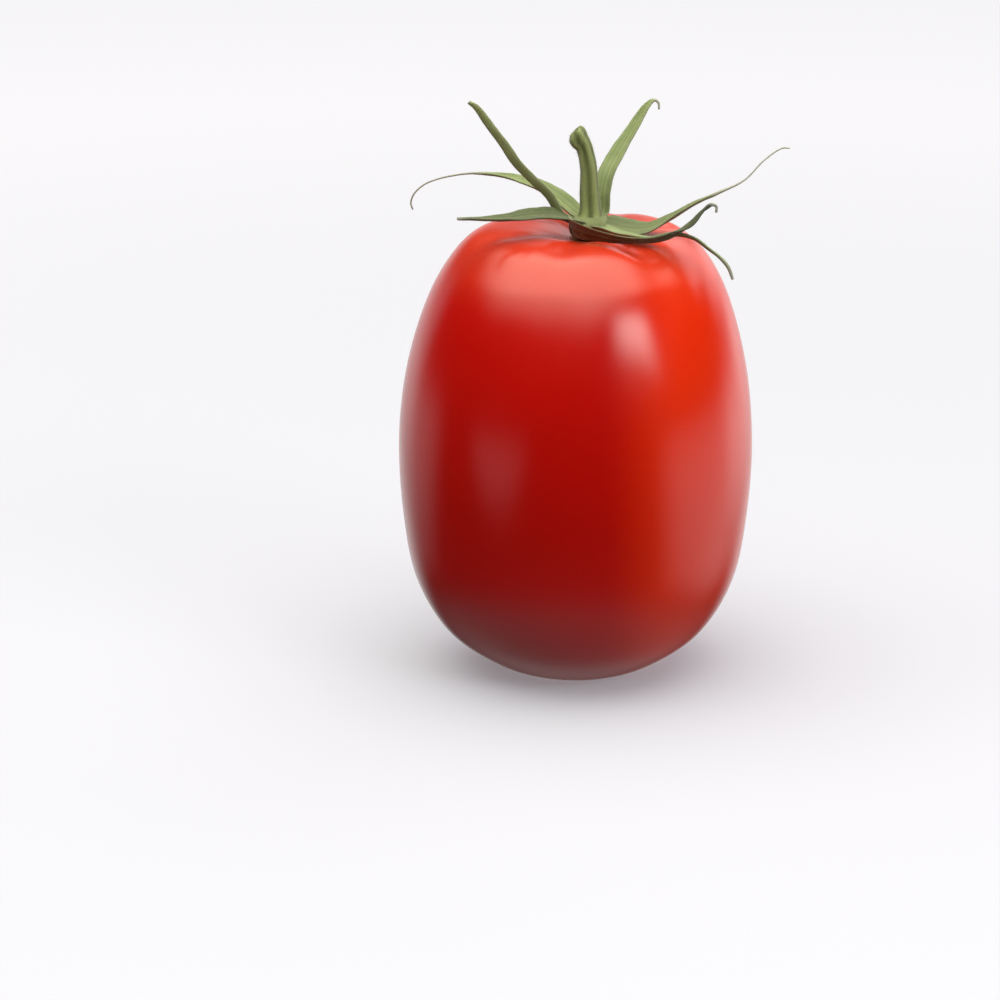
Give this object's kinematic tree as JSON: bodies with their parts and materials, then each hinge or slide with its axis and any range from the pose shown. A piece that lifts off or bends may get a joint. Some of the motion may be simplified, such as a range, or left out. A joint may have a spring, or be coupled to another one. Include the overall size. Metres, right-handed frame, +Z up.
{
  "type": "plum tomato",
  "caption": "Ripe elongated tomato standing on its blossom end, with its green calyx and a short curved stem.",
  "frame": {"origin": "middle of the small flat spot under the blossom end, on the surface the tomato stands on", "axes": "+Z up from the blossom end to the stem end, +X to the right and +Y away from the viewer of the picture"},
  "size_m": [0.0584, 0.0538, 0.0886],
  "materials": {
    "red_skin": "smooth glossy ripe tomato skin, deep red",
    "leaf_green": "matt downy sepals, light green inside and olive outside, drying to grey-brown at the tips",
    "stem_green": "matt downy green stem with fine ribs"
  },
  "bodies": {
    "root": {"fruit": "red_skin", "calyx": "leaf_green", "stem": "stem_green"}
  },
  "joints": []
}
